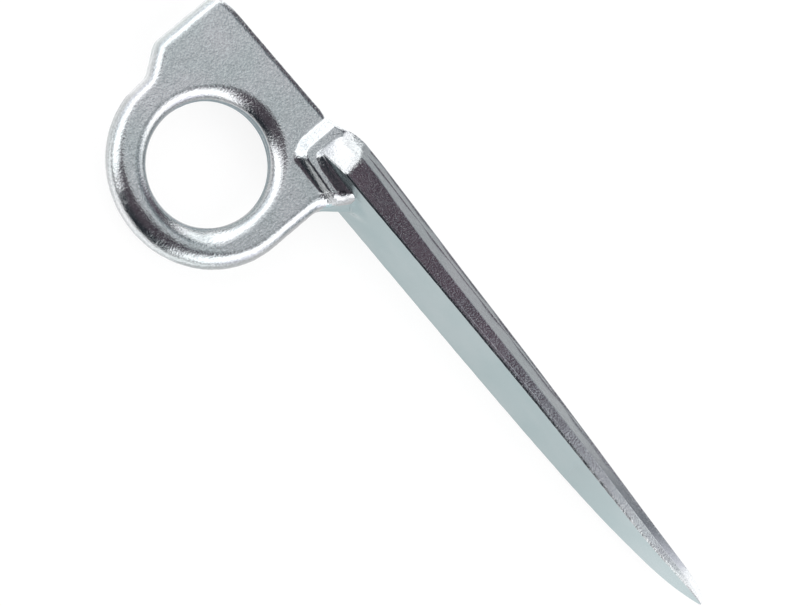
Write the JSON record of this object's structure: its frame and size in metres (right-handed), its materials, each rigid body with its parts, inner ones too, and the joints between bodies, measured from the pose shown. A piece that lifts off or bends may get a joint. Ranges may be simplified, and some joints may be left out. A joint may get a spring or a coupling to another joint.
{
  "type": "piton",
  "caption": "Forged steel piton with a round carabiner eye in a flat plate, a stepped neck and a long solid tapering blade with a flat underside.",
  "frame": {"origin": "bottom centre of the bounding box, with the piton lying on the long edge of its blade and its eye plate level", "axes": "+X along the blade from the striking end to the tip, +Y in the plane of the eye plate from the eye to the blade's crown, +Z along the eye plate's normal. The piton is symmetric about the plane through the middle of its plate."},
  "size_m": [0.1342, 0.0416, 0.0176],
  "materials": {
    "zinc_plated_steel": "bright zinc plating over an as-forged skin, smoother on the blade's ground underside"
  },
  "bodies": {
    "root": {"piton_forging": "zinc_plated_steel"}
  },
  "joints": []
}
